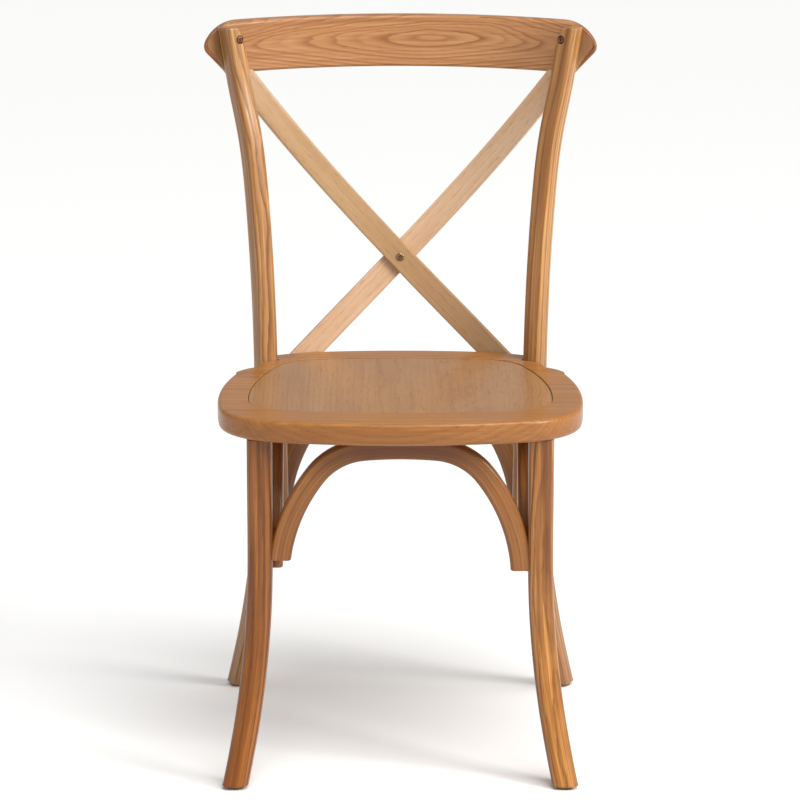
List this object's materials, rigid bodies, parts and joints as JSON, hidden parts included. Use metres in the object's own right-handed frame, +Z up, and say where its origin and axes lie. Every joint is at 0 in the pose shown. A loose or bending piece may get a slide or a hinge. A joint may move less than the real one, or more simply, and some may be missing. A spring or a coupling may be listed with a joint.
{
  "type": "cross back dining chair",
  "caption": "Bentwood dining chair with a crossed-slat back, curved crest rail, inset wooden seat panel and arched braces between splayed legs.",
  "frame": {"origin": "on the floor, midway between the chair's left and right and between its front and back", "axes": "+Z up from the floor; the sitter faces -Y; +X is the right side seen from the front"},
  "size_m": [0.5006, 0.5147, 0.885],
  "materials": {
    "seat_wood": "satin clear lacquer over a honey stain",
    "panel_wood": "satin clear lacquer over a honey stain",
    "frame_wood": "satin clear lacquer over a honey stain",
    "back_wood": "satin clear lacquer over a honey stain",
    "bronzed_steel": "dark bronze plating",
    "zinc_steel": "zinc plated",
    "glide_plastic": "moulded matt brown"
  },
  "bodies": {
    "root": {"seat_board": "seat_wood", "seat_panel": "panel_wood", "rear_post_left": "frame_wood", "rear_post_right": "frame_wood", "front_leg_left": "frame_wood", "front_leg_right": "frame_wood", "front_arch": "frame_wood", "rear_arch": "frame_wood", "side_arch_left": "frame_wood", "side_arch_right": "frame_wood", "crest_rail": "back_wood", "cross_slat_front": "back_wood", "cross_slat_rear": "back_wood", "crest_screws": "bronzed_steel", "crossing_screw": "bronzed_steel", "slat_foot_screws": "bronzed_steel", "arch_end_screws": "zinc_steel", "arch_top_screws": "zinc_steel", "seat_bolts": "zinc_steel", "bolt_washers": "zinc_steel", "floor_glides": "glide_plastic", "glide_nails": "zinc_steel"}
  },
  "joints": []
}
